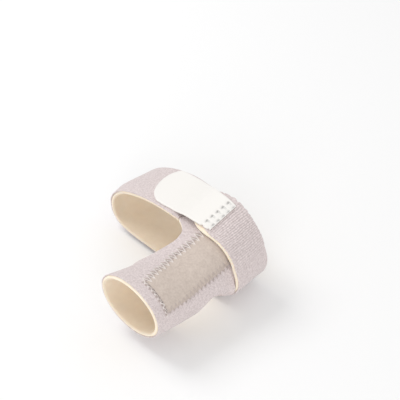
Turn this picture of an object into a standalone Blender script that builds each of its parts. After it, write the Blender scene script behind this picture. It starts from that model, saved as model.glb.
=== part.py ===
"""Toe-straightening brace for the right side, in its worn shape, in metres.

A foam-backed knit sleeve closes as a tube at the front. Its side panel runs back from the tube and
is sewn to a band of the same laminate, which goes over the top, round the outer side and under, and
comes up over the panel as a strap. A hook tab sewn to the strap's end closes it on the band's own
first stretch. A suede patch is sewn over the splint pocket of the panel.

+X points to the inner side, where the panel lies, -Y to the front and +Z up. The origin is the
middle of the band's hollow.
"""

import bmesh
import bpy
import numpy as np

# Inside sizes that the brace is cut to, of the band's hollow and of the sleeve's tube
BAND_BREADTH = 0.0830
BAND_HEIGHT = 0.0300
TUBE_WIDTH = 0.0330
TUBE_HEIGHT = 0.0260

# The layers, from the inside outwards
FOAM_THICKNESS = 0.0016
KNIT_THICKNESS = 0.0007
LAYER_GAP = 0.0003
PATCH_THICKNESS = 0.0008
TAB_THICKNESS = 0.0012

# Lengths from front to rear, and how far the panel's tail and its seam reach back on the band
BAND_WIDTH = 0.0270
SLEEVE_REACH = 0.0470
PANEL_TAIL = 0.78
SEAM_TAIL = 0.95

# How far the tube's rear edge bows forward, as a share of the tube's length
REAR_BOW = 0.08

# Heights of the layers above the hollow
KNIT_BASE = FOAM_THICKNESS + LAYER_GAP
LAMINATE = KNIT_BASE + KNIT_THICKNESS
PATCH_BASE = LAMINATE + LAYER_GAP
STRAP_BASE = PATCH_BASE + PATCH_THICKNESS + LAYER_GAP

BAND_FRONT = -BAND_WIDTH / 2
SLEEVE_FRONT = BAND_FRONT - SLEEVE_REACH
BOTTOM = -BAND_HEIGHT / 2

# One row for each landmark round the band's hollow, from the seam on its top to the outer side, the
# underside, the inner side and the crest above the panel. Shares of half the breadth and of the
# height, at the front edge of the band and at its rear edge.
GIRTH = (
    # landmark, across_front, up_front, across_rear, up_rear
    ("seam", 0.165, 0.995, 0.165, 1.07),
    ("upper_middle", -0.22, 0.965, -0.20, 1.05),
    ("upper_outer", -0.555, 0.865, -0.56, 0.90),
    ("outer_shoulder", -0.855, 0.68, -0.86, 0.65),
    ("outer_side", -1.00, 0.38, -1.03, 0.33),
    ("outer_bottom", -0.86, 0.045, -0.86, 0.04),
    ("middle_bottom", -0.22, 0.00, -0.23, 0.015),
    ("inner_bottom", 0.52, 0.01, 0.46, 0.02),
    ("inner_bulge", 0.83, 0.22, 0.80, 0.17),
    ("inner_side", 1.00, 0.50, 0.91, 0.49),
    ("inner_shoulder", 0.84, 0.90, 0.76, 0.92),
    ("crest", 0.585, 1.03, 0.51, 1.21),
)
LANDMARKS = len(GIRTH)
INNER_SIDE = 9
TUBE_LANDMARKS = 8

# One row for each section through the tube's hollow. Along is a share of the sleeve's reach from its
# front rim to the band, across and up are the middle as shares of half the band's breadth and of
# its height, and the last two are shares of the tube's width and height.
TUBE = (
    # along, across, up, width, height
    (0.00, 0.555, 0.59, 1.05, 0.95),
    (0.33, 0.590, 0.525, 0.975, 0.96),
    (0.66, 0.565, 0.48, 1.00, 1.00),
    (1.00, 0.585, 0.51, 1.10, 1.05),
)

# One row for each section of the sleeve and its panel. Along is a share of the sleeve's reach, past
# which the panel runs on under the strap. Outer and under are the two free edges in landmarks, of
# which eight go once round the tube. Joined is how far the section has the band's form.
SLEEVE = (
    # along, outer, under, joined
    (0.00, 12.73, 6.22, 0.00),
    (0.33, 12.73, 6.22, 0.00),
    (0.37, 12.25, 6.95, 0.06),
    (0.43, 11.95, 7.80, 0.16),
    (0.50, 11.80, 8.45, 0.29),
    (0.60, 11.68, 8.93, 0.49),
    (0.70, 11.60, 9.08, 0.67),
    (0.80, 11.55, 8.98, 0.83),
    (0.87, 11.57, 8.66, 0.92),
    (0.93, 11.66, 8.26, 0.97),
    (0.97, 11.82, 8.08, 1.00),
    (1.00, 11.99, 8.00, 1.00),
)

# One row for each place along the band, from the seam to the strap's end. Front and rear are its
# two edges as shares of its width, and lift is the share of the strap's height above the hollow.
BAND = (
    # mark, front, rear, lift
    (0.01, 0.00, 0.97, 0.00),
    (3.0, 0.00, 0.97, 0.00),
    (6.2, 0.00, 0.95, 0.00),
    (7.6, 0.00, 0.88, 0.74),
    (8.8, 0.00, 0.83, 0.78),
    (9.5, 0.00, 0.83, 1.00),
    (10.8, 0.00, 0.83, 1.00),
    (11.2, 0.03, 0.83, 1.00),
    (11.4, 0.08, 0.83, 1.00),
    (11.52, 0.18, 0.82, 1.00),
    (11.56, 0.30, 0.78, 1.00),
)

# One row for each place across the splint pocket's patch, as shares of the sleeve's reach.
PATCH = (
    # along, upper_mark, lower_mark
    (0.14, 10.73, 9.46),
    (0.40, 10.98, 9.55),
    (0.65, 11.10, 9.64),
    (0.85, 11.07, 9.65),
    (1.14, 10.98, 9.65),
)

# One row for each place along the hook tab, from its sewn end to its round tip. Drop is how far it
# has come down from the top of the strap to the top of the band.
TAB = (
    # mark, front, rear, drop
    (10.83, 0.050, 0.728, 0.00),
    (11.20, 0.030, 0.770, 0.00),
    (11.60, 0.016, 0.820, 0.02),
    (12.00, 0.037, 0.885, 0.50),
    (12.40, 0.060, 0.935, 1.00),
    (12.80, 0.042, 0.925, 1.00),
    (13.00, 0.047, 0.922, 1.00),
    (13.20, 0.090, 0.925, 1.00),
    (13.38, 0.160, 0.930, 1.00),
    (13.50, 0.230, 0.920, 1.00),
    (13.60, 0.330, 0.870, 1.00),
    (13.68, 0.440, 0.800, 1.00),
    (13.73, 0.560, 0.700, 1.00),
)


def curve_value(ts, xs, values):
    """Smooth monotone curve through the values at xs, read at ts."""
    xs = np.asarray(xs, float)
    values = np.asarray(values, float)
    steps = np.diff(xs)
    slopes = np.diff(values) / steps
    ends = np.concatenate([[slopes[0]], slopes, [slopes[-1]]])
    before, after = ends[:-1], ends[1:]
    same = before * after > 0
    tangent = np.where(same, 2 * before * after / np.where(same, before + after, 1), 0)
    ts = np.clip(ts, xs[0], xs[-1])
    k = np.clip(np.searchsorted(xs, ts, side="right") - 1, 0, len(steps) - 1)
    h = steps[k]
    u = (ts - xs[k]) / h
    return (
        values[k] * (1 + 2 * u) * (1 - u) ** 2
        + tangent[k] * h * u * (1 - u) ** 2
        + values[k + 1] * u * u * (3 - 2 * u)
        + tangent[k + 1] * h * u * u * (u - 1)
    )


def read(rows, column, place):
    """A column of a table, read at values of the table's first column."""
    return curve_value(place, [row[0] for row in rows], [row[column] for row in rows])


def around(mark, column):
    """A column of the girth table at a landmark number, on a closed smooth curve."""
    values = np.array([row[column] for row in GIRTH])
    k = np.floor(mark).astype(int)
    u = mark - k
    a, b, c, d = (values[(k + i) % LANDMARKS] for i in (-1, 0, 1, 2))
    return 0.5 * (
        2 * b + (c - a) * u + (2 * a - 5 * b + 4 * c - d) * u**2 + (3 * b - a - 3 * c + d) * u**3
    )


def band_hollow(mark, y):
    """Points of the band's inner surface at landmark numbers and places from front to rear."""
    rear = (y - BAND_FRONT) / BAND_WIDTH
    across = around(mark, 1) * (1 - rear) + around(mark, 3) * rear
    up = around(mark, 2) * (1 - rear) + around(mark, 4) * rear
    return np.stack([across * BAND_BREADTH / 2, y, BOTTOM + up * BAND_HEIGHT], axis=-1)


def tube_hollow(angle, y):
    """Points of the tube's inner surface at angles in degrees and places from front to rear."""
    along = (y - SLEEVE_FRONT) / SLEEVE_REACH
    across, up, width, height = (read(TUBE, column, along) for column in (1, 2, 3, 4))
    turn = np.radians(angle)
    x = across * BAND_BREADTH / 2 + np.cos(turn) * width * TUBE_WIDTH / 2
    z = BOTTOM + up * BAND_HEIGHT + np.sin(turn) * height * TUBE_HEIGHT / 2
    return np.stack([x, y, z], axis=-1)


def raised(hollow, mark, y, lift):
    """Points at a height above an inner surface, square to it."""
    step = 0.02
    round_it = hollow(mark + step, y) - hollow(mark - step, y)
    along_it = hollow(mark, y + step * BAND_WIDTH) - hollow(mark, y - step * BAND_WIDTH)
    outward = np.cross(along_it, round_it)
    outward /= np.linalg.norm(outward, axis=-1, keepdims=True)
    return hollow(mark, y) + outward * np.asarray(lift)[..., None]


def sleeve_hollow(mark, y):
    """Points of the sleeve's inner surface, whose tube takes the band's form on its way back."""
    along = (y - SLEEVE_FRONT) / SLEEVE_REACH
    joined = read(SLEEVE, 3, along)[..., None]
    angle = (mark - INNER_SIDE) * 360 / TUBE_LANDMARKS
    return tube_hollow(angle, y) * (1 - joined) + band_hollow(mark, y) * joined


def material(name, colour, roughness):
    """A plain surface of one colour."""
    made = bpy.data.materials.new(name)
    made.use_nodes = True
    shader = made.node_tree.nodes["Principled BSDF"]
    shader.inputs["Base Color"].default_value = (*colour, 1)
    shader.inputs["Roughness"].default_value = roughness
    shader.inputs["Metallic"].default_value = 0
    return made


def shell(name, strips, thickness, look):
    """An object from rows of points that share their ends, thickened outwards."""
    mesh = bmesh.new()
    for points in strips:
        rows = [[mesh.verts.new(point) for point in row] for row in points]
        for a, b in zip(rows, rows[1:]):
            for k in range(len(a) - 1):
                mesh.faces.new((a[k], b[k], b[k + 1], a[k + 1]))
    bmesh.ops.remove_doubles(mesh, verts=mesh.verts, dist=0.00005)
    data = bpy.data.meshes.new(name)
    mesh.to_mesh(data)
    mesh.free()
    data.materials.append(look)
    made = bpy.data.objects.new(name, data)
    parts.objects.link(made)
    wall = made.modifiers.new("wall", "SOLIDIFY")
    wall.thickness = thickness
    wall.offset = 1
    data.shade_smooth()
    return made


for scene_object in list(bpy.data.objects):
    bpy.data.objects.remove(scene_object, do_unlink=True)

parts = bpy.data.collections.new("toe_brace")
bpy.context.scene.collection.children.link(parts)

foam_look = material("foam", (0.93, 0.80, 0.61), 0.85)
knit_look = material("knit", (0.68, 0.62, 0.63), 0.90)
patch_look = material("suede", (0.56, 0.51, 0.44), 0.95)
tab_look = material("hook_tab", (0.96, 0.94, 0.92), 0.60)

# Sleeve and panel: rows from the front rim to the panel's tail, each from the under edge up to the
# outer one. The web closes the rows of the tube, with a bowed rear edge.
tube = np.array([0, 0.04, 0.10, 0.17, 0.25, 0.33])
panel = np.concatenate([np.arange(0.345, 0.45, 0.015), (0.47, 0.50, 0.55, 0.60, 0.65, 0.70, 0.75, 0.80),
                        (0.84, 0.88, 0.91, 0.94, 0.97, 1.0)])
tail = np.array([0.12, 0.27, 0.42, 0.57, 0.72, 0.87, 1.0])
share = np.linspace(0, 1, 21)


def sleeve_row(along):
    """Landmarks and places of one row, from the under edge to the outer one."""
    under = read(SLEEVE, 2, along)
    outer = read(SLEEVE, 1, along)
    return under + (outer - under) * share, np.full(share.shape, SLEEVE_FRONT + along * SLEEVE_REACH)


rows = [sleeve_row(along) for along in (*tube, *panel)]
last_marks = rows[-1][0]
tail_reach = curve_value(last_marks, (11.2, 11.9), (PANEL_TAIL, SEAM_TAIL)) * BAND_WIDTH
rows += [(last_marks, BAND_FRONT + part * tail_reach) for part in tail]
panel_marks = np.array([row[0] for row in rows])
panel_places = np.array([row[1] for row in rows])
bow = np.linspace(0, np.pi, 9)
outer_marks, under_marks = panel_marks[: len(tube), -1:], panel_marks[: len(tube), :1] + TUBE_LANDMARKS
web_marks = outer_marks + (under_marks - outer_marks) * (1 - np.cos(bow)) / 2
web_places = SLEEVE_FRONT + tube[:, None] * SLEEVE_REACH * (1 - REAR_BOW * np.sin(bow))

for layer, base, thickness, look in (
    ("foam", 0, FOAM_THICKNESS, foam_look),
    ("knit", KNIT_BASE, KNIT_THICKNESS, knit_look),
):
    panel_points = raised(sleeve_hollow, panel_marks, panel_places, np.full(panel_marks.shape, base))
    web_points = raised(sleeve_hollow, web_marks, web_places, np.full(web_marks.shape, base))
    web_points[:, 0] = panel_points[: len(tube), -1]
    web_points[:, -1] = panel_points[: len(tube), 0]
    shell("toe_sleeve_" + layer, (panel_points, web_points), thickness, look)

# Band and strap: one strip from the seam all the way round to the strap's end
marks = np.concatenate([np.linspace(BAND[0][0], 10.9, 50), (11.1, 11.25, 11.37, 11.46, 11.52, 11.56)])
width_share = np.linspace(0, 1, 7)[:, None]
front, rear, lift = (read(BAND, column, marks) for column in (1, 2, 3))
band_places = BAND_FRONT + (front + (rear - front) * width_share) * BAND_WIDTH
band_marks = np.broadcast_to(marks, band_places.shape)
for layer, base, thickness, look in (
    ("foam", 0, FOAM_THICKNESS, foam_look),
    ("knit", KNIT_BASE, KNIT_THICKNESS, knit_look),
):
    points = raised(band_hollow, band_marks, band_places, base + lift * STRAP_BASE * np.ones((7, 1)))
    shell("foot_band_" + layer, (points,), thickness, look)

# Patch over the splint pocket, its tail under the strap
along = np.linspace(PATCH[0][0], PATCH[-1][0], 15)[:, None]
upper, lower = (read(PATCH, column, along) for column in (1, 2))
patch_marks = lower + (upper - lower) * np.linspace(0, 1, 9)
patch_places = SLEEVE_FRONT + along * SLEEVE_REACH * np.ones(9)
points = raised(sleeve_hollow, patch_marks, patch_places, np.full(patch_marks.shape, PATCH_BASE))
shell("splint_patch", (points,), PATCH_THICKNESS, patch_look)

# Hook tab, from the top of the strap's end down to the first stretch of the band
tip_marks = (13.15, 13.27, 13.38, 13.47, 13.55, 13.61, 13.66, 13.70, TAB[-1][0])
marks = np.concatenate([np.linspace(TAB[0][0], 13.0, 17), tip_marks])
front, rear, drop = (read(TAB, column, marks) for column in (1, 2, 3))
tab_places = BAND_FRONT + (front + (rear - front) * width_share) * BAND_WIDTH
tab_marks = np.broadcast_to(marks, tab_places.shape)
lift = (LAMINATE + LAYER_GAP + (1 - drop) * STRAP_BASE) * np.ones((7, 1))
points = raised(band_hollow, tab_marks, tab_places, lift)
shell("hook_tab", (points,), TAB_THICKNESS, tab_look)
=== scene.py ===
import math

import bpy
import numpy as np
from mathutils import Matrix, Vector, kdtree, noise


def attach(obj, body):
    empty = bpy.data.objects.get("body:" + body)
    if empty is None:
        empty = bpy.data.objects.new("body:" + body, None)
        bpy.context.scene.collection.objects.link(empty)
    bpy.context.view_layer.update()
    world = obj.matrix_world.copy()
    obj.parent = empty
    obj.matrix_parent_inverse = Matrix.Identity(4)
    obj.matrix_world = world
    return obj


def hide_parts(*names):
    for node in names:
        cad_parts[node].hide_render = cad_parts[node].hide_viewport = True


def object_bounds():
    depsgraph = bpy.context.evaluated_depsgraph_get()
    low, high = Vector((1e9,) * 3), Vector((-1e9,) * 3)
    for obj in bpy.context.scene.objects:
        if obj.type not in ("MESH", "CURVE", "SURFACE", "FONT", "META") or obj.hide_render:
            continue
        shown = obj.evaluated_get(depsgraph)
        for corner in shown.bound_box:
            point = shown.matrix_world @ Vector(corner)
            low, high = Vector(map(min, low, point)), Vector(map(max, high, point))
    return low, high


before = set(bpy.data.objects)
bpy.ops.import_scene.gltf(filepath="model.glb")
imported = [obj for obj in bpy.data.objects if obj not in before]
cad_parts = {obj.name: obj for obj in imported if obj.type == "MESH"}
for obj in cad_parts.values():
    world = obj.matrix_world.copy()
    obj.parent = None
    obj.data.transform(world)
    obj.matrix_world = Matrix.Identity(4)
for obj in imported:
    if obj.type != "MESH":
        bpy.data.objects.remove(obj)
cad_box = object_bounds()


# Knit face of the toe sleeve and its side panel
# One cut of fine pale knit, bonded to foam and stretched into its worn shape. It closes as a tube
# at the front and runs back as a panel with two free edges, which curve out to the band.

BREADTH = 0.0830
HEIGHT = 0.0300
TUBE_WIDTH = 0.0330
TUBE_HEIGHT = 0.0260
BAND_WIDTH = 0.0270
SLEEVE_REACH = 0.0470
BAND_FRONT = -BAND_WIDTH / 2
SLEEVE_FRONT = BAND_FRONT - SLEEVE_REACH
BOTTOM = -HEIGHT / 2
FOAM = 0.0019
KNIT = 0.0007
LAMINATE = FOAM + KNIT

# Landmarks round the hollow of the band, from the seam on its top to the outer side, the underside
# and the inner side: across and up at its front edge, then across and up at its rear edge
GIRTH = np.array([
    (0.165, 0.995, 0.165, 1.07),
    (-0.22, 0.965, -0.20, 1.05),
    (-0.555, 0.865, -0.56, 0.90),
    (-0.855, 0.68, -0.86, 0.65),
    (-1.00, 0.38, -1.03, 0.33),
    (-0.86, 0.045, -0.86, 0.04),
    (-0.22, 0.00, -0.23, 0.015),
    (0.52, 0.01, 0.46, 0.02),
    (0.83, 0.22, 0.80, 0.17),
    (1.00, 0.50, 0.91, 0.49),
    (0.84, 0.90, 0.76, 0.92),
    (0.585, 1.03, 0.51, 1.21),
])

# Sections of the tube: along, across, up, width, height
TUBE = np.array([
    (0.00, 0.555, 0.59, 1.05, 0.95),
    (0.33, 0.590, 0.525, 0.975, 0.96),
    (0.66, 0.565, 0.48, 1.00, 1.00),
    (1.00, 0.585, 0.51, 1.10, 1.05),
])

# Sections of the sleeve and panel: along, outer edge, under edge, how far it has joined the band
SLEEVE = np.array([
    (0.00, 12.73, 6.22, 0.00),
    (0.33, 12.73, 6.22, 0.00),
    (0.37, 12.25, 6.95, 0.06),
    (0.43, 11.95, 7.80, 0.16),
    (0.50, 11.80, 8.45, 0.29),
    (0.60, 11.68, 8.93, 0.49),
    (0.70, 11.60, 9.08, 0.67),
    (0.80, 11.55, 8.98, 0.83),
    (0.87, 11.57, 8.66, 0.92),
    (0.93, 11.66, 8.26, 0.97),
    (0.97, 11.82, 8.08, 1.00),
    (1.00, 11.99, 8.00, 1.00),
])
WEB = 0.33
REAR_BOW = 0.08

# How the panel's lower corner bulges out in front of the strap that presses on it: along and height
# as a share of the largest, then the landmarks over which it fades
CORNER = np.array([
    (0.90, 0.0), (0.92, 0.02), (0.94, 0.24), (0.96, 0.60), (0.975, 0.86), (0.985, 1.0), (0.993, 0.45), (1.0, 0)
])
CORNER_FADE = (8.72, 9.22)
CORNER_HEIGHT = 0.0025

# How far the panel rises to the strap's underside, between the corner and the patch
MEETING = 0.00038


def curve_value(ts, xs, values):
    """Smooth monotone curve through the values at xs, read at ts."""
    xs, values = np.asarray(xs, float), np.asarray(values, float)
    steps = np.diff(xs)
    slopes = np.diff(values) / steps
    ends = np.concatenate([[slopes[0]], slopes, [slopes[-1]]])
    before, after = ends[:-1], ends[1:]
    same = before * after > 0
    tangent = np.where(same, 2 * before * after / np.where(same, before + after, 1), 0)
    ts = np.clip(ts, xs[0], xs[-1])
    k = np.clip(np.searchsorted(xs, ts, side="right") - 1, 0, len(steps) - 1)
    h = steps[k]
    u = (ts - xs[k]) / h
    return (
        values[k] * (1 + 2 * u) * (1 - u) ** 2
        + tangent[k] * h * u * (1 - u) ** 2
        + values[k + 1] * u * u * (3 - 2 * u)
        + tangent[k + 1] * h * u * u * (u - 1)
    )


def around(mark, column):
    """A column of the landmarks read at a landmark number, on a closed smooth curve."""
    k = np.floor(mark).astype(int)
    u = mark - k
    a, b, c, d = (GIRTH[(k + i) % 12, column] for i in (-1, 0, 1, 2))
    cubic = (2 * a - 5 * b + 4 * c - d) * u**2 + (3 * b - a - 3 * c + d) * u**3
    return 0.5 * (2 * b + (c - a) * u + cubic)


def band_hollow(mark, y):
    """Inner surface of the band at landmark numbers and places along the brace."""
    rear = (y - BAND_FRONT) / BAND_WIDTH
    across = around(mark, 0) * (1 - rear) + around(mark, 2) * rear
    up = around(mark, 1) * (1 - rear) + around(mark, 3) * rear
    return np.stack([across * BREADTH / 2, y, BOTTOM + up * HEIGHT], axis=-1)


def sleeve_hollow(mark, y):
    """Inner surface of the sleeve, whose tube leaves for the shape of the band on its way back."""
    along = (y - SLEEVE_FRONT) / SLEEVE_REACH
    across, up, width, height = (curve_value(along, TUBE[:, 0], TUBE[:, i]) for i in (1, 2, 3, 4))
    turn = np.radians(45 * (mark - 9))
    x = across * BREADTH / 2 + np.cos(turn) * width * TUBE_WIDTH / 2
    z = BOTTOM + up * HEIGHT + np.sin(turn) * height * TUBE_HEIGHT / 2
    joined = curve_value(along, SLEEVE[:, 0], SLEEVE[:, 3])[..., None]
    return np.stack([x, y, z], axis=-1) * (1 - joined) + band_hollow(mark, y) * joined


def outward(hollow, mark, y):
    """Unit directions square to the hollow, away from it."""
    step = 0.02
    round_it = hollow(mark + step, y) - hollow(mark - step, y)
    along_it = hollow(mark, y + step * BAND_WIDTH) - hollow(mark, y - step * BAND_WIDTH)
    out = np.cross(along_it, round_it)
    return out / np.linalg.norm(out, axis=-1, keepdims=True)


def raised(hollow, mark, y, lift):
    """Points at a height above the hollow."""
    return hollow(mark, y) + outward(hollow, mark, y) * np.asarray(lift)[..., None]


def quads(rows):
    """Faces between neighbouring rows of vertex numbers, facing away from the hollow."""
    return [
        (a[k], b[k], b[k + 1], a[k + 1])
        for a, b in zip(rows, rows[1:])
        for k in range(len(a) - 1)
    ]


def cloth(name, hollow, net, base, thickness, edge, relief=None, drape=0.0):
    """A closed sheet with rounded edges that lies at a height above the hollow.

    The net gives a landmark number, a place along the brace and an extra lift for each vertex, and
    the faces. Relief adds height to the outer face alone, and drape is the size of its slow waves.
    """
    marks, places, lifts, faces = net
    up = outward(hollow, marks, places)
    middle = hollow(marks, places) + up * (base + thickness / 2 + lifts)[:, None]
    if drape:
        wave = np.array([noise.noise(Vector(p) * 95) + 0.5 * noise.noise(Vector(p) * 260) for p in middle])
        middle = middle + up * (wave * drape)[:, None]
    count = {}
    for face in faces:
        for a, b in zip(face, (*face[1:], face[0])):
            key = (min(a, b), max(a, b))
            count[key] = count.get(key, 0) + 1
    rim = [key for key, times in count.items() if times == 1]
    tree = kdtree.KDTree(len(rim) * 4)
    for k, (a, b) in enumerate(rim):
        for i in range(4):
            tree.insert(middle[a] + (middle[b] - middle[a]) * i / 4, 4 * k + i)
    tree.balance()
    depth = np.array([tree.find(p)[2] for p in middle])
    half = thickness / 2 * np.sqrt(np.clip(1 - (1 - np.clip(depth / edge, 0, 1)) ** 2, 0, 1))
    on_rim = np.zeros(len(middle), bool)
    on_rim[[v for key in rim for v in key]] = True
    half[on_rim] = 0
    extra = np.zeros(len(middle)) if relief is None else relief(marks, places) * np.clip(depth / edge, 0, 1)
    outer = middle + up * (half + extra)[:, None]
    kept = np.flatnonzero(~on_rim)
    inner = middle[kept] - up[kept] * half[kept, None]
    twin = np.arange(len(middle))
    twin[kept] = len(middle) + np.arange(len(kept))
    points = np.concatenate([outer, inner])
    both = list(faces) + [tuple(int(twin[v]) for v in reversed(face)) for face in faces]
    mesh = bpy.data.meshes.new(name)
    mesh.from_pydata(points.tolist(), [], both)
    mesh.validate()
    order = np.concatenate([np.arange(len(middle)), kept])
    across = np.stack([marks * 0.015, places, np.zeros(len(marks))], axis=-1)[order]
    mesh.attributes.new("cloth", "FLOAT_VECTOR", "POINT").data.foreach_set("vector", across.ravel())
    mesh.attributes.new("depth", "FLOAT", "POINT").data.foreach_set("value", depth[order] * 1000)
    mesh.attributes.new("relief", "FLOAT", "POINT").data.foreach_set("value", extra[order] * 1000)
    inside = np.concatenate([np.zeros(len(middle)), np.ones(len(kept))])
    mesh.attributes.new("inside", "FLOAT", "POINT").data.foreach_set("value", inside)
    mesh.shade_smooth()
    made = bpy.data.objects.new(name, mesh)
    bpy.context.scene.collection.objects.link(made)
    return made


EDGE_STEPS = np.array([0, 0.00004, 0.00014, 0.0003, 0.00055, 0.0009])


def finely(start, end, spacing):
    """Places from start to end that crowd together at both, where a sheet's edge is rounded."""
    inner = np.linspace(start + 0.0014, end - 0.0014, max(2, round((end - start - 0.0028) / spacing)))
    return np.concatenate([start + EDGE_STEPS, inner, end - EDGE_STEPS[::-1]])


def corner_bulge(mark, y):
    """Height of the bulge of the panel's lower corner, and of its rise to the strap."""
    along = (y - SLEEVE_FRONT) / SLEEVE_REACH
    forward = curve_value(along, CORNER[:, 0], CORNER[:, 1])
    bulge = CORNER_HEIGHT * forward * curve_value(mark, CORNER_FADE, (1, 0))
    near = curve_value(along, (0.94, 0.985, 1.10, 1.16), (0, 1, 1, 0))
    return np.maximum(bulge, MEETING * near * curve_value(mark, (8.3, 8.7, 9.5, 9.62), (0, 1, 1, 0)))


def sleeve_net(spacing, rim, margin=0.0):
    """Vertices of the sleeve and panel. Rim is how far its front edge stands forward."""
    shares = finely(0, 0.040, spacing) / 0.040
    web_end = SLEEVE_FRONT + WEB * SLEEVE_REACH
    tube_rows = finely(SLEEVE_FRONT - rim, web_end, spacing)
    corner_start = SLEEVE_FRONT + CORNER[0, 0] * SLEEVE_REACH
    panel_rows = np.concatenate(
        [np.arange(web_end + 0.0003, corner_start, spacing), np.arange(corner_start, BAND_FRONT, 0.00022)]
    )
    marks, places, rows, ring_rows = [], [], [], []
    bow = np.linspace(0, np.pi, max(8, round(0.024 / spacing)))[1:-1]
    for y in (*tube_rows, *panel_rows):
        along = (y - SLEEVE_FRONT) / SLEEVE_REACH
        outer = curve_value(along, SLEEVE[:, 0], SLEEVE[:, 1]) - margin
        under = curve_value(along, SLEEVE[:, 0], SLEEVE[:, 2]) + margin
        first = len(marks)
        marks += list(under + (outer - under) * shares)
        places += [y] * len(shares)
        rows.append(list(range(first, first + len(shares))))
        if y <= web_end:
            marks += list(outer + (under + 8 - outer) * (1 - np.cos(bow)) / 2)
            places += list(SLEEVE_FRONT + (y - SLEEVE_FRONT) * (1 - REAR_BOW * np.sin(bow)))
            ring_rows.append([rows[-1][-1], *range(rows[-1][-1] + 1, len(marks)), rows[-1][0]])
    last = np.array(marks[-len(shares):])
    tail = curve_value(last, (11.2, 11.9), (0.78, 0.95)) * BAND_WIDTH
    for part in finely(0, 0.021, spacing)[6:] / 0.021:
        first = len(marks)
        marks += list(last)
        places += list(BAND_FRONT + part * tail)
        rows.append(list(range(first, first + len(shares))))
    marks, places = np.array(marks), np.array(places)
    return marks, places, corner_bulge(marks, places), quads(rows) + quads(ring_rows)


sleeve_knit = cloth("sleeve_knit", sleeve_hollow, sleeve_net(0.0007, 0.0), FOAM, KNIT, 0.00045, drape=0.00012)


def shader(name, roughness):
    """A new material with its Principled shader, and a maker of linked nodes in it."""
    made = bpy.data.materials.new(name)
    made.use_nodes = True
    surface = made.node_tree.nodes["Principled BSDF"]
    surface.inputs["Roughness"].default_value = roughness

    def node(kind, values=None, **settings):
        new = made.node_tree.nodes.new(kind)
        for key, value in settings.items():
            setattr(new, key, value)
        for key, value in (values or {}).items():
            socket = new.inputs[key]
            if isinstance(value, bpy.types.NodeSocket):
                made.node_tree.links.new(value, socket)
            else:
                socket.default_value = value
        return new

    def link(a, b):
        made.node_tree.links.new(a, b)

    return made, surface, node, link


def knit_cloth():
    """Pale, faintly pink grey knit: fine loops in columns, a mottled yarn and a short soft nap. Painted shade
    darkens the rib grooves and a painted highlight lightens the ridges.
    """
    made, surface, node, link = shader("pale_knit", 0.92)
    place = node("ShaderNodeAttribute", attribute_name="cloth").outputs["Vector"]
    mottle = node("ShaderNodeTexNoise", {"Vector": place, "Scale": 1150, "Detail": 3, "Roughness": 0.65})
    broad = node("ShaderNodeTexNoise", {"Vector": place, "Scale": 470, "Detail": 3, "Roughness": 0.6})
    light = node("ShaderNodeMath", {0: broad.outputs[0], 1: 0.35}, operation="MULTIPLY").outputs[0]
    mixed = node("ShaderNodeMath", {0: mottle.outputs[0], 1: light}, operation="ADD").outputs[0]
    tone = node("ShaderNodeMapRange", {0: mixed, 1: 0.50, 2: 0.85}).outputs[0]
    ramp = node("ShaderNodeValToRGB", {0: tone})
    ramp.color_ramp.elements[0].color = (0.635, 0.545, 0.535, 1)
    ramp.color_ramp.elements[1].color = (0.85, 0.755, 0.745, 1)
    # Painted shade and painted highlight: the rib relief darkens the colour in the grooves and lightens it on the
    # ridges.
    relief = node("ShaderNodeAttribute", attribute_name="relief").outputs["Fac"]
    painted_rib_shade = node("ShaderNodeMapRange", {0: relief, 1: -0.07, 2: 0.07, 3: 0.78, 4: 1.15}).outputs[0]
    shaded = node("ShaderNodeMix", {0: 1.0, 6: ramp.outputs[0]}, data_type="RGBA", blend_type="MULTIPLY")
    link(painted_rib_shade, shaded.inputs[7])
    link(shaded.outputs[2], surface.inputs["Base Color"])
    wales = node("ShaderNodeTexWave", {"Vector": place, "Scale": 740, "Distortion": 0.6, "Detail": 1})
    courses = node("ShaderNodeTexWave", {"Vector": place, "Scale": 860, "Distortion": 0.8}, bands_direction="Y")
    loops = node("ShaderNodeMath", {0: wales.outputs[1], 1: courses.outputs[1]}, operation="MULTIPLY")
    fuzz = node("ShaderNodeMath", {0: loops.outputs[0], 1: mottle.outputs[0]}, operation="ADD")
    bump = node("ShaderNodeBump", {"Strength": 0.45, "Distance": 0.0002, "Height": fuzz.outputs[0]})
    link(bump.outputs[0], surface.inputs["Normal"])
    surface.inputs["Sheen Weight"].default_value = 0.2
    surface.inputs["Sheen Roughness"].default_value = 0.5
    surface.inputs["Specular IOR Level"].default_value = 0.2
    return made


pale_knit = knit_cloth()
sleeve_knit.data.materials.append(pale_knit)
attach(sleeve_knit, "root")
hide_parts("toe_sleeve_knit")


# Foam backing of the sleeve
# Cream foam, bonded to the inside of the knit and cut flush with it. Its cut edge shows as a soft
# cream bead at the front rim and along the panel, and a brushed lining covers its inner face.

FOAM_PROUD = 0.00035
sleeve_foam = cloth(
    "sleeve_foam", sleeve_hollow, sleeve_net(0.0010, FOAM_PROUD, -0.02), 0.0, FOAM - 0.00004, 0.0009
)


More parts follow.
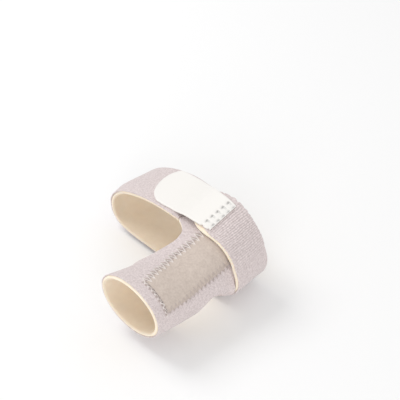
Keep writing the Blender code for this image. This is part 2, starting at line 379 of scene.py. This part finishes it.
def cut_foam():
    """Open-celled cream foam, slightly translucent, and duller where the lining covers it."""
    made, surface, node, link = shader("cream_foam", 0.95)
    place = node("ShaderNodeTexCoord").outputs["Object"]
    cells = node("ShaderNodeTexNoise", {"Vector": place, "Scale": 2600, "Detail": 2})
    patches = node("ShaderNodeTexNoise", {"Vector": place, "Scale": 260, "Detail": 2})
    inside = node("ShaderNodeAttribute", attribute_name="inside").outputs["Fac"]
    edge = node("ShaderNodeMix", {0: patches.outputs[0], 6: (0.92, 0.79, 0.625, 1), 7: (0.99, 0.89, 0.745, 1)},
                data_type="RGBA")
    lining = node("ShaderNodeMix", {0: patches.outputs[0], 6: (0.78, 0.66, 0.52, 1), 7: (0.86, 0.75, 0.61, 1)},
                  data_type="RGBA")
    both = node("ShaderNodeMix", {0: inside, 6: edge.outputs[2], 7: lining.outputs[2]}, data_type="RGBA")
    link(both.outputs[2], surface.inputs["Base Color"])
    bump = node("ShaderNodeBump", {"Strength": 0.35, "Distance": 0.00015, "Height": cells.outputs[0]})
    link(bump.outputs[0], surface.inputs["Normal"])
    surface.inputs["Subsurface Weight"].default_value = 0.25
    surface.inputs["Subsurface Radius"].default_value = (0.0012, 0.0009, 0.0006)
    surface.inputs["Subsurface Scale"].default_value = 1.0
    surface.inputs["Specular IOR Level"].default_value = 0.2
    return made


cream_foam = cut_foam()
sleeve_foam.data.materials.append(cream_foam)
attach(sleeve_foam, "root")
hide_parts("toe_sleeve_foam")


# Band and strap
# The same laminate as one long strip. It is sewn to the panel's outer edge, goes over the top and
# round the underside, and comes up the inner side over the panel as the strap. The pull of the tab
# gathers the strap's knit into fine upright ribs, and its rear edge into small scallops.

# mark, front edge, rear edge, lift as a share of the strap's height
BAND = np.array([
    (0.01, 0.00, 0.97, 0.00),
    (3.0, 0.00, 0.97, 0.00),
    (6.2, 0.00, 0.95, 0.00),
    (7.6, 0.00, 0.88, 0.74),
    (8.8, 0.00, 0.83, 0.78),
    (9.38, 0.00, 0.83, 0.81),
    (9.68, 0.00, 0.83, 1.00),
    (10.8, 0.00, 0.83, 1.00),
    (11.2, 0.03, 0.83, 1.00),
    (11.4, 0.08, 0.83, 1.00),
    (11.52, 0.18, 0.82, 1.00),
    (11.56, 0.30, 0.78, 1.00),
])
STRAP_LIFT = 0.0040
BARREL = 0.0011
RIB_PITCH = 0.00112
RIB_HEIGHT = 0.00015
RIB_START = 10.88
RIB_END = 9.62
MARK_LENGTH = 0.0170


def ribs(mark, y):
    """Height of the gathered ribs, which are broken into dashes and fade out down the strap."""
    place = (RIB_START - mark) * MARK_LENGTH / RIB_PITCH
    place = place + 0.10 * np.sin(y * 420 + mark * 3.1) + 0.07 * np.sin(y * 1130 + mark * 11)
    number = np.floor(place + 0.5)
    dash = 0.5 + 0.5 * np.sin(2 * np.pi * y / 0.0023 + 17.3 * np.sin(number * 12.99))
    ridge = (0.5 + 0.5 * np.cos(2 * np.pi * place)) ** 0.6 * (0.62 + 0.38 * dash)
    full = curve_value(mark, (9.2, RIB_END, 10.75, 10.95), (0.0, 0.7, 1.0, 0.0))
    along = (y - BAND_FRONT) / BAND_WIDTH
    full = full * curve_value(along, (0.02, 0.16, 0.72, 0.83), (0.45, 0.9, 1.0, 0.6))
    return RIB_HEIGHT * full * (ridge - 0.5)


def scallop(mark):
    """How far the rear edge bulges out between the gathers."""
    near = np.exp(-(((mark - 10.95) / 0.42) ** 2))
    return 0.00065 * near * np.abs(np.sin(np.pi * (mark - 10.1) * MARK_LENGTH / 0.0034)) + 0.00012 * (
        mark > 9.4
    ) * np.sin(2 * np.pi * mark * MARK_LENGTH / 0.0023)


def strap_end(mark):
    """1 at the front corner of the strap's end, where the knit has drawn back from the foam."""
    return curve_value(mark, (10.7, 11.2, 11.5), (0, 1, 1)) * (mark > 10.7)


def barrel(mark, share):
    """How far the band bulges out over the outer side, behind its front edge."""
    return BARREL * curve_value(mark, (1.9, 3.0, 4.4, 5.6), (0, 1, 1, 0)) * curve_value(
        share, (0, 0.28, 0.65, 1), (0, 1, 0.5, 0)
    )


def band_net(spacing, fine, proud, drawn, tucked=0.0):
    """Vertices of the band and strap. Fine is the spacing along the stretch that has ribs, proud is
    how far the edges stand out, drawn how much further forward the strap's front corner is, and
    tucked how far the front edge over the top lies back.
    """
    plain = np.arange(0.01 + 0.0014 / 0.015, 9.2, spacing / 0.015)
    ribbed = np.arange(9.2, 11.0, fine / 0.017)
    last = np.linspace(11.0, 11.56 - 0.0014 / 0.017, round(0.0095 / spacing))
    start = 0.01 + EDGE_STEPS / 0.016
    end = 11.56 - EDGE_STEPS[::-1] / 0.017
    marks = np.concatenate([start, plain, ribbed, last, end])
    front, rear, lift = (curve_value(marks, BAND[:, 0], BAND[:, i]) for i in (1, 2, 3))
    low = BAND_FRONT + front * BAND_WIDTH - proud - drawn * strap_end(marks)
    low = low + tucked * curve_value(marks, (0.0, 0.15, 3.2, 4.4), (0, 1, 1, 0))
    high = BAND_FRONT + rear * BAND_WIDTH + scallop(marks) + proud
    shares = finely(0, 0.0235, 0.0007) / 0.0235
    places = low + (high - low) * shares[:, None]
    grid = np.arange(places.size).reshape(places.shape)
    marks = np.broadcast_to(marks, places.shape)
    lifts = lift * STRAP_LIFT + barrel(marks, shares[:, None])
    return marks.ravel(), places.ravel(), lifts.ravel(), quads(grid.tolist())


band_knit = cloth(
    "band_knit", band_hollow, band_net(0.0008, 0.00014, 0.0, -0.0010), FOAM, KNIT, 0.00045, relief=ribs, drape=0.0001
)
band_knit.data.materials.append(pale_knit)
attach(band_knit, "root")
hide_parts("foot_band_knit")

band_foam = cloth("band_foam", band_hollow, band_net(0.0011, 0.0008, FOAM_PROUD, 0.0006, 0.00055), 0.0, FOAM - 0.00004, 0.0009)
band_foam.data.materials.append(cream_foam)
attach(band_foam, "root")
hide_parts("foot_band_foam")


# Patch over the splint pocket
# A strip of thin beige suede, laid on the panel's knit over the pocket that holds the splint. Its
# raw edges are sewn down all round, and its rear end lies under the strap.

# along, upper edge, lower edge
PATCH = np.array([
    (0.14, 10.73, 9.46),
    (0.40, 10.98, 9.55),
    (0.65, 11.10, 9.64),
    (0.85, 11.07, 9.65),
    (1.14, 10.98, 9.65),
])
SUEDE = 0.0008
PRESS = 0.00032


def patch_net():
    places = finely(SLEEVE_FRONT + 0.14 * SLEEVE_REACH, SLEEVE_FRONT + 1.14 * SLEEVE_REACH, 0.0003)[:, None]
    along = (places - SLEEVE_FRONT) / SLEEVE_REACH
    upper = curve_value(along, PATCH[:, 0], PATCH[:, 1])
    lower = curve_value(along, PATCH[:, 0], PATCH[:, 2])
    shares = finely(0, 0.0195, 0.0003) / 0.0195
    marks = lower + (upper - lower) * shares
    places = np.broadcast_to(places, marks.shape)
    grid = np.arange(marks.size).reshape(marks.shape)
    return marks.ravel(), places.ravel(), np.zeros(marks.size), quads(grid.tolist())


def pressed(mark, y):
    """How the stitching presses the patch down along its three sewn edges."""
    along = (y - SLEEVE_FRONT) / SLEEVE_REACH
    upper = curve_value(along, PATCH[:, 0], PATCH[:, 1])
    lower = curve_value(along, PATCH[:, 0], PATCH[:, 2])
    edge = np.minimum(np.minimum(upper - mark, mark - lower) * 0.0148, (along - 0.14) * SLEEVE_REACH)
    return -PRESS * np.exp(-((np.clip(edge, 0, None) / 0.0016) ** 2))


patch = cloth("suede_patch", sleeve_hollow, patch_net(), LAMINATE + 0.00003, SUEDE, 0.0006, pressed, 0.00008)


def suede():
    """Beige suede: short nap that lies in soft clouds, over a fine grain."""
    made, surface, node, link = shader("beige_suede", 0.95)
    place = node("ShaderNodeTexCoord").outputs["Object"]
    grain = node("ShaderNodeTexNoise", {"Vector": place, "Scale": 1050, "Detail": 4, "Roughness": 0.7})
    clouds = node("ShaderNodeTexNoise", {"Vector": place, "Scale": 330, "Detail": 2})
    light = node("ShaderNodeMath", {0: clouds.outputs[0], 1: 0.4}, operation="MULTIPLY").outputs[0]
    mixed = node("ShaderNodeMath", {0: grain.outputs[0], 1: light}, operation="ADD").outputs[0]
    tone = node("ShaderNodeMapRange", {0: mixed, 1: 0.50, 2: 0.90}).outputs[0]
    ramp = node("ShaderNodeValToRGB", {0: tone})
    ramp.color_ramp.elements[0].color = (0.56, 0.472, 0.415, 1)
    ramp.color_ramp.elements[1].color = (0.675, 0.583, 0.518, 1)
    link(ramp.outputs[0], surface.inputs["Base Color"])
    bump = node("ShaderNodeBump", {"Strength": 0.4, "Distance": 0.00015, "Height": grain.outputs[0]})
    link(bump.outputs[0], surface.inputs["Normal"])
    surface.inputs["Sheen Weight"].default_value = 0.35
    surface.inputs["Sheen Roughness"].default_value = 0.4
    surface.inputs["Specular IOR Level"].default_value = 0.2
    return made


patch.data.materials.append(suede())
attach(patch, "root")
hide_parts("splint_patch")


# Stitching of the patch
# Wide zigzags over the two long edges and a tight double one over the front edge. A pale thread is sewn together
# with a dull one, whose colour is painted shade, on the upper edge, and with a taupe one, partly painted shade, on
# the lower and front edges. Each leg is a short arch from one needle hole to the next.


def thread_tree():
    """Turns lines of needle holes into sewn thread. Each leg rises in an arch between its holes, and a small dark
    disc at each hole is painted shade.
    """
    tree = bpy.data.node_groups.new("sewn_thread", "GeometryNodeTree")
    tree.interface.new_socket("Holes", in_out="INPUT", socket_type="NodeSocketGeometry")
    for label in ("Thread Radius", "Arch Height", "Hole Depth", "Painted Shade Radius"):
        tree.interface.new_socket(label, in_out="INPUT", socket_type="NodeSocketFloat")
    for label in ("Material", "Painted Shade Material"):
        tree.interface.new_socket(label, in_out="INPUT", socket_type="NodeSocketMaterial")
    tree.interface.new_socket("Stitches", in_out="OUTPUT", socket_type="NodeSocketGeometry")

    def node(kind, values=None, **settings):
        new = tree.nodes.new(kind)
        for key, value in settings.items():
            setattr(new, key, value)
        for key, value in (values or {}).items():
            socket = new.inputs[key]
            if isinstance(value, bpy.types.NodeSocket):
                tree.links.new(value, socket)
            else:
                socket.default_value = value
        return new

    given = node("NodeGroupInput")
    cuts = 5
    lines = node("GeometryNodeMeshToCurve", {0: given.outputs["Holes"]})
    finer = node("GeometryNodeSubdivideCurve", {"Curve": lines.outputs[0], "Cuts": cuts})
    number = node("GeometryNodeSplineParameter").outputs["Index"]
    step = node("ShaderNodeMath", {0: number, 1: cuts + 1.0}, operation="MODULO").outputs[0]
    share = node("ShaderNodeMath", {0: step, 1: math.pi / (cuts + 1)}, operation="MULTIPLY").outputs[0]
    arch = node("ShaderNodeMath", {0: share}, operation="SINE").outputs[0]
    rise = node("ShaderNodeMath", {0: arch, 1: given.outputs["Arch Height"]}, operation="MULTIPLY").outputs[0]
    height = node("ShaderNodeMath", {0: rise, 1: given.outputs["Hole Depth"]}, operation="SUBTRACT").outputs[0]
    up = node("GeometryNodeInputNamedAttribute", {"Name": "up"}, data_type="FLOAT_VECTOR").outputs[0]
    offset = node("ShaderNodeVectorMath", {0: up, "Scale": height}, operation="SCALE").outputs[0]
    moved = node("GeometryNodeSetPosition", {"Geometry": finer.outputs[0], "Offset": offset})
    profile = node("GeometryNodeCurvePrimitiveCircle", {"Resolution": 7, "Radius": given.outputs["Thread Radius"]})
    swept = node("GeometryNodeCurveToMesh", {"Curve": moved.outputs[0], "Profile Curve": profile.outputs[0]})
    swept.inputs["Fill Caps"].default_value = True
    smooth = node("GeometryNodeSetShadeSmooth", {"Geometry": swept.outputs[0]})
    shade = given.outputs["Painted Shade Material"]
    # Painted shade: a small dark disc at each needle hole, turned to face out of the cloth.
    disc = node("GeometryNodeMeshCircle", {"Vertices": 8, "Radius": given.outputs["Painted Shade Radius"]}, fill_type="NGON")
    shaded = node("GeometryNodeSetMaterial", {"Geometry": disc.outputs[0], "Material": shade})
    facing = node("FunctionNodeAlignRotationToVector", {"Vector": up}, axis="Z").outputs[0]
    holes = node(
        "GeometryNodeInstanceOnPoints",
        {"Points": given.outputs["Holes"], "Instance": shaded.outputs[0], "Rotation": facing},
    )
    both = node("GeometryNodeJoinGeometry")
    tree.links.new(holes.outputs[0], both.inputs[0])
    tree.links.new(smooth.outputs[0], both.inputs[0])
    real = node("GeometryNodeRealizeInstances", {0: both.outputs[0]})
    in_shade_disc = node("GeometryNodeMaterialSelection", {"Material": shade}).outputs[0]
    of_thread = node("FunctionNodeBooleanMath", {0: in_shade_disc}, operation="NOT").outputs[0]
    painted = node(
        "GeometryNodeSetMaterial",
        {"Geometry": real.outputs[0], "Selection": of_thread, "Material": given.outputs["Material"]},
    )
    result = node("NodeGroupOutput")
    tree.links.new(painted.outputs[0], result.inputs[0])
    return tree


sewn_thread = thread_tree()


def sew(name, lines, radius, arch, depth, material, shade_disc_radius):
    """An object of sewn thread, with discs of painted shade at its needle holes. Each line gives the places of its
    needle holes and their directions.
    """
    points = np.concatenate([line[0] for line in lines])
    ups = np.concatenate([line[1] for line in lines])
    edges, first = [], 0
    for holes, _ in lines:
        edges += [(first + k, first + k + 1) for k in range(len(holes) - 1)]
        first += len(holes)
    guide = bpy.data.meshes.new(name + "_holes")
    guide.from_pydata(points.tolist(), edges, [])
    guide.attributes.new("up", "FLOAT_VECTOR", "POINT").data.foreach_set("vector", ups.ravel())
    made = bpy.data.objects.new(name, guide)
    bpy.context.scene.collection.objects.link(made)
    sewing = made.modifiers.new("sewing", "NODES")
    sewing.node_group = sewn_thread
    sockets = {item.name: item.identifier for item in sewn_thread.interface.items_tree}
    sewing[sockets["Thread Radius"]] = radius
    sewing[sockets["Arch Height"]] = arch
    sewing[sockets["Hole Depth"]] = depth
    sewing[sockets["Painted Shade Radius"]] = shade_disc_radius
    sewing[sockets["Material"]] = material
    sewing[sockets["Painted Shade Material"]] = hole_shade
    result = bpy.data.meshes.new_from_object(made.evaluated_get(bpy.context.evaluated_depsgraph_get()))
    made.modifiers.remove(sewing)
    made.data = result
    result.name = name
    return made


def zigzag(hollow, line, pitch, width, height, seed, across="mark", jitter=0.10, start=0.0):
    """Needle holes of a zigzag about a line of landmark numbers and places along the brace.

    Height gives how high above the hollow the cloth lies at a hole. Across says which way it swings,
    and start is where on the line the first hole is, in pitches.
    """
    marks, places = line
    points = raised(hollow, marks, places, np.full(len(marks), LAMINATE))
    run = np.concatenate([[0], np.cumsum(np.linalg.norm(np.diff(points, axis=0), axis=1))])
    stops = np.arange(start * pitch, run[-1], pitch / 2)
    chance = np.random.default_rng(seed)
    stops = stops + chance.uniform(-jitter, jitter, len(stops)) * pitch / 2
    m, y = np.interp(stops, run, marks), np.interp(stops, run, places)
    swing = width / 2 * np.where(np.arange(len(stops)) % 2, 1, -1)
    swing = swing * (1 + chance.uniform(-jitter, jitter, len(stops)))
    if across == "mark":
        m = m + swing / 0.0145
    else:
        y = y + swing
    return raised(hollow, m, y, height(m, y)), outward(hollow, m, y)


def on_panel(mark, y):
    """Height of the panel's outer face: the knit, or the patch where it lies on it."""
    along = (y - SLEEVE_FRONT) / SLEEVE_REACH
    upper = curve_value(along, PATCH[:, 0], PATCH[:, 1])
    lower = curve_value(along, PATCH[:, 0], PATCH[:, 2])
    inside = (mark < upper) & (mark > lower) & (along > 0.14)
    return LAMINATE + corner_bulge(mark, y) + np.where(inside, SUEDE + pressed(mark, y), 0.0)


def thread_look(name, colour, dark):
    """Spun thread with a faint twist."""
    made, surface, node, link = shader(name, 0.7)
    place = node("ShaderNodeTexCoord").outputs["Object"]
    fibre = node("ShaderNodeTexNoise", {"Vector": place, "Scale": 3200, "Detail": 2})
    mix = node("ShaderNodeMix", {0: fibre.outputs[0], 6: dark, 7: colour}, data_type="RGBA")
    link(mix.outputs[2], surface.inputs["Base Color"])
    surface.inputs["Sheen Weight"].default_value = 0.2
    return made


# Colour of the dark discs at the needle holes: painted shade.
hole_shade = thread_look("painted_hole_shade", (0.40, 0.34, 0.33, 1), (0.33, 0.28, 0.27, 1))
pale_thread = thread_look("pale_thread", (0.93, 0.875, 0.845, 1), (0.74, 0.67, 0.635, 1))
# Painted shade: a dull, darker thread that stands for the shadows between the pale strokes of the upper zigzag.
painted_shade_thread = thread_look("painted_shade_thread", (0.66, 0.565, 0.51, 1), (0.50, 0.42, 0.375, 1))
# Taupe thread: partly the thread's own darker tone, partly painted shade along the patch's lower edge and in the
# gaps of the front line.
taupe_thread = thread_look("taupe_thread", (0.63, 0.54, 0.50, 1), (0.48, 0.41, 0.375, 1))
seam_thread = thread_look("seam_thread", (0.47, 0.395, 0.385, 1), (0.33, 0.275, 0.265, 1))

along = np.linspace(0.12, 1.05, 200)
places = SLEEVE_FRONT + along * SLEEVE_REACH
upper_line = (curve_value(along, PATCH[:, 0], PATCH[:, 1]) + 0.05, places)
lower_line = (curve_value(along, PATCH[:, 0], PATCH[:, 2]) + 0.04, places)
front_marks = np.linspace(9.32, 10.82, 120)
front_place = SLEEVE_FRONT + 0.14 * SLEEVE_REACH
front_line = (front_marks, np.full(120, front_place - 0.0006))
upper_stitches = sew(
    "patch_stitches_upper",
    [zigzag(sleeve_hollow, upper_line, 0.00288, 0.0050, on_panel, 3)],
    0.00023, 0.00034, 0.00010, pale_thread, 0.00020,
)
# A second zigzag on the upper line, half a leg along from the pale one, in the dull thread: painted shade between
# the pale strokes.
shade_stroke_stitches = sew(
    "patch_stitches_painted_shade",
    [zigzag(sleeve_hollow, upper_line, 0.00288, 0.0048, on_panel, 3, start=0.25)],
    0.00019, 0.00030, 0.00008, painted_shade_thread, 0.00022,
)
# The lower line and the dark legs of the front line, in the taupe thread, whose darkness is partly painted shade.
lower_stitches = sew(
    "patch_stitches_lower",
    [
        zigzag(sleeve_hollow, lower_line, 0.0025, 0.0040, on_panel, 5),
        zigzag(sleeve_hollow, front_line, 0.0024, 0.0021, on_panel, 9, "y", start=0.5),
    ],
    0.00018, 0.00046, 0.00004, taupe_thread, 0.00023,
)
front_stitches = sew(
    "patch_stitches_front",
    [zigzag(sleeve_hollow, front_line, 0.0024, 0.0011, on_panel, 9, "y")],
    0.00028, 0.00044, 0.00010, pale_thread, 0.0,
)
for stitches in (upper_stitches, shade_stroke_stitches, lower_stitches, front_stitches):
    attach(stitches, "root")


# Seam between the panel and the band
# The band's start butts against the panel's outer edge and is joined by a narrow dark zigzag, which
# shows in front of the tab.

seam_line = (np.full(80, 12.0), np.linspace(BAND_FRONT + 0.0004, BAND_FRONT + 0.92 * BAND_WIDTH, 80))
seam_stitches = sew(
    "seam_stitches",
    [zigzag(band_hollow, seam_line, 0.0021, 0.0034, lambda m, y: np.full(np.shape(m), LAMINATE), 11)],
    0.00017, 0.00026, 0.00006, seam_thread, 0.00032,
)
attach(seam_stitches, "root")


# Hook tab
# White hook tape with a round end, smooth on its outer side. One end is sewn on the strap with two
# rows of stitches, which pull small dips into it, and the other is pressed on to the band.

# mark, front edge, rear edge, how far it has come down from the strap to the band
TAB = np.array([
    (10.83, 0.050, 0.728, 0.00),
    (11.20, 0.030, 0.770, 0.00),
    (11.60, 0.016, 0.820, 0.02),
    (12.00, 0.037, 0.885, 0.50),
    (12.40, 0.060, 0.935, 1.00),
    (12.80, 0.042, 0.925, 1.00),
    (13.00, 0.047, 0.922, 1.00),
    (13.20, 0.090, 0.925, 1.00),
    (13.38, 0.160, 0.930, 1.00),
    (13.50, 0.230, 0.920, 1.00),
    (13.60, 0.330, 0.870, 1.00),
    (13.68, 0.440, 0.800, 1.00),
    (13.73, 0.560, 0.700, 1.00),
])
TAPE = 0.0012
DIP_DEPTH = 0.00060
DIP_RADIUS = 0.00052
DIP_ARM = 0.00125


def tab_lift(mark):
    return (1 - curve_value(mark, TAB[:, 0], TAB[:, 3])) * STRAP_LIFT


def tab_edges(mark):
    """Places of the tab's front and rear edge."""
    front, rear = (curve_value(mark, TAB[:, 0], TAB[:, i]) for i in (1, 2))
    return BAND_FRONT + front * BAND_WIDTH, BAND_FRONT + rear * BAND_WIDTH


def stitch_row(first, last, first_place, last_place):
    """Landmark numbers and places of one row of needle holes, from the rear edge to the front one."""
    share = np.linspace(0, 1, 6)
    places = BAND_FRONT + (first_place + (last_place - first_place) * share) * BAND_WIDTH
    return first + (last - first) * share, places


tab_rows = [stitch_row(11.01, 11.10, 0.689, 0.047), stitch_row(10.845, 10.885, 0.685, 0.057)]


def dips(mark, y):
    """The needle holes' dips in the outer face, each with two short arms where the thread pulls."""
    sunk = np.zeros(np.shape(mark))
    for hole_marks, hole_places in tab_rows:
        for m, p in zip(hole_marks, hole_places):
            back, side = (m - mark) * MARK_LENGTH, p - y
            for ahead, beside in ((back, side), (side, back)):
                reached = np.clip(ahead, 0, DIP_ARM)
                far = (ahead - reached) ** 2 + beside**2
                sunk = np.maximum(sunk, np.exp(-far / DIP_RADIUS**2) * (1 - 0.55 * reached / DIP_ARM))
    return -DIP_DEPTH * sunk


def tab_net():
    start, end = TAB[0, 0], TAB[-1, 0]
    sewn = np.arange(start + 0.0014 / MARK_LENGTH, 11.45, 0.00018 / MARK_LENGTH)
    free = np.arange(11.45, end - 0.0016 / MARK_LENGTH, 0.0004 / MARK_LENGTH)
    marks = np.concatenate(
        [start + EDGE_STEPS / MARK_LENGTH, sewn, free, end - EDGE_STEPS[::-1] / MARK_LENGTH]
    )
    low, high = tab_edges(marks)
    for hole_marks, _ in tab_rows:
        low = low + 0.0007 * np.exp(-((marks - hole_marks[-1]) * MARK_LENGTH / 0.0006) ** 2)
    shares = finely(0, 0.020, 0.00020) / 0.020
    places = low + (high - low) * shares[:, None]
    grid = np.arange(places.size).reshape(places.shape)
    lifts = np.broadcast_to(tab_lift(marks), places.shape)
    marks = np.broadcast_to(marks, places.shape)
    return marks.ravel(), places.ravel(), lifts.ravel(), quads(grid.tolist())


tab = cloth("hook_tab_tape", band_hollow, tab_net(), LAMINATE + 0.0001, TAPE, 0.0005, relief=dips)


def white_tape():
    """Smooth white nylon tape with a barely visible weave, and painted shade that greys it in the needle holes'
    dips.
    """
    made, surface, node, link = shader("white_tape", 0.55)
    place = node("ShaderNodeAttribute", attribute_name="cloth").outputs["Vector"]
    weave = node("ShaderNodeTexWave", {"Vector": place, "Scale": 430, "Distortion": 0.4})
    cross = node("ShaderNodeTexWave", {"Vector": place, "Scale": 430, "Distortion": 0.4}, bands_direction="Y")
    yarn = node("ShaderNodeMath", {0: weave.outputs[1], 1: cross.outputs[1]}, operation="ADD")
    # Painted shade: the deeper the dip, the further the tape's colour goes to grey.
    relief = node("ShaderNodeAttribute", attribute_name="relief").outputs["Fac"]
    hole = node("ShaderNodeMapRange", {0: relief, 1: -0.52, 2: -0.10}).outputs[0]
    mix = node("ShaderNodeMix", {0: hole, 6: (0.38, 0.37, 0.36, 1), 7: (0.885, 0.86, 0.825, 1)}, data_type="RGBA")
    link(mix.outputs[2], surface.inputs["Base Color"])
    bump = node("ShaderNodeBump", {"Strength": 0.12, "Distance": 0.0001, "Height": yarn.outputs[0]})
    link(bump.outputs[0], surface.inputs["Normal"])
    surface.inputs["Sheen Weight"].default_value = 0.1
    return made


tape_white = white_tape()
tab.data.materials.append(tape_white)
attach(tab, "root")
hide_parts("hook_tab")


# Stitching of the tab
# White thread in a zigzag between the two rows of needle holes.


def on_tab(mark, y):
    return LAMINATE + 0.0001 + TAPE + tab_lift(mark) + dips(mark, y)


white_thread = thread_look("white_thread", (0.93, 0.92, 0.90, 1), (0.80, 0.79, 0.77, 1))
hole_marks = np.stack([tab_rows[0][0][:-1], tab_rows[1][0][:-1]], axis=1).ravel()
hole_places = np.stack([tab_rows[0][1][:-1], tab_rows[1][1][:-1]], axis=1).ravel()
tab_holes = raised(band_hollow, hole_marks, hole_places, on_tab(hole_marks, hole_places))
tab_stitches = sew(
    "tab_stitches",
    [(tab_holes, outward(band_hollow, hole_marks, hole_places))],
    0.00020, 0.00066, 0.00010, white_thread, 0.0,
)
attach(tab_stitches, "root")


# Studio
# A white floor just under the band, one large soft light from above and pale light all round.

floor_mesh = bpy.data.meshes.new("floor")
reach = 3.0
low = min(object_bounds()[0].z, cad_box[0].z) - 0.0003
floor_mesh.from_pydata([(-reach, -reach, low), (reach, -reach, low), (reach, reach, low), (-reach, reach, low)], [], [(0, 1, 2, 3)])
floor = bpy.data.objects.new("floor", floor_mesh)
bpy.context.scene.collection.objects.link(floor)
paper, paper_surface, _, _ = shader("white_paper", 0.9)
paper_surface.inputs["Base Color"].default_value = (0.95, 0.95, 0.95, 1)
floor_mesh.materials.append(paper)

world = bpy.data.worlds.new("studio")
bpy.context.scene.world = world
world.use_nodes = True
world.node_tree.nodes["Background"].inputs["Color"].default_value = (1, 1, 1, 1)
world.node_tree.nodes["Background"].inputs["Strength"].default_value = 0.74


def soft_light(name, place, size, power):
    """A square area light that faces the brace."""
    data = bpy.data.lights.new(name, "AREA")
    data.size = size
    data.energy = power
    light = bpy.data.objects.new(name, data)
    light.location = place
    light.rotation_mode = "QUATERNION"
    light.rotation_quaternion = Vector(place).to_track_quat("Z", "Y")
    bpy.context.scene.collection.objects.link(light)


soft_light("key_light", (-0.56, -0.14, 0.74), 0.45, 2.9)
soft_light("fill_light", (0.60, -0.70, 0.36), 0.6, 2.2)

# The camera stands in front of the inner side, well above the brace
AZIMUTH, ELEVATION = math.radians(46.0), math.radians(41.5)
FOCAL_PIXELS, DISTANCE = 1413.0, 0.690
ANCHOR, ANCHOR_PIXEL = Vector((0.0032, BAND_FRONT, BOTTOM + 0.0134)), (174.3, 243.3)
back = Vector(
    (math.sin(AZIMUTH) * math.cos(ELEVATION), -math.cos(AZIMUTH) * math.cos(ELEVATION), math.sin(ELEVATION))
)
right = Vector((math.cos(AZIMUTH), math.sin(AZIMUTH), 0))
upward = back.cross(right)
camera_data = bpy.data.cameras.new("camera")
camera_data.sensor_width = 36
camera_data.lens = FOCAL_PIXELS * 36 / 400
camera_data.clip_start = 0.01
camera = bpy.data.objects.new("camera", camera_data)
camera.location = (
    ANCHOR
    + back * DISTANCE
    - right * ((ANCHOR_PIXEL[0] - 200) / FOCAL_PIXELS * DISTANCE)
    + upward * ((ANCHOR_PIXEL[1] - 200) / FOCAL_PIXELS * DISTANCE)
)
camera.rotation_mode = "QUATERNION"
camera.rotation_quaternion = Matrix((right, upward, back)).transposed().to_quaternion()
bpy.context.scene.collection.objects.link(camera)
bpy.context.scene.camera = camera
bpy.context.scene.view_settings.view_transform = "Standard"
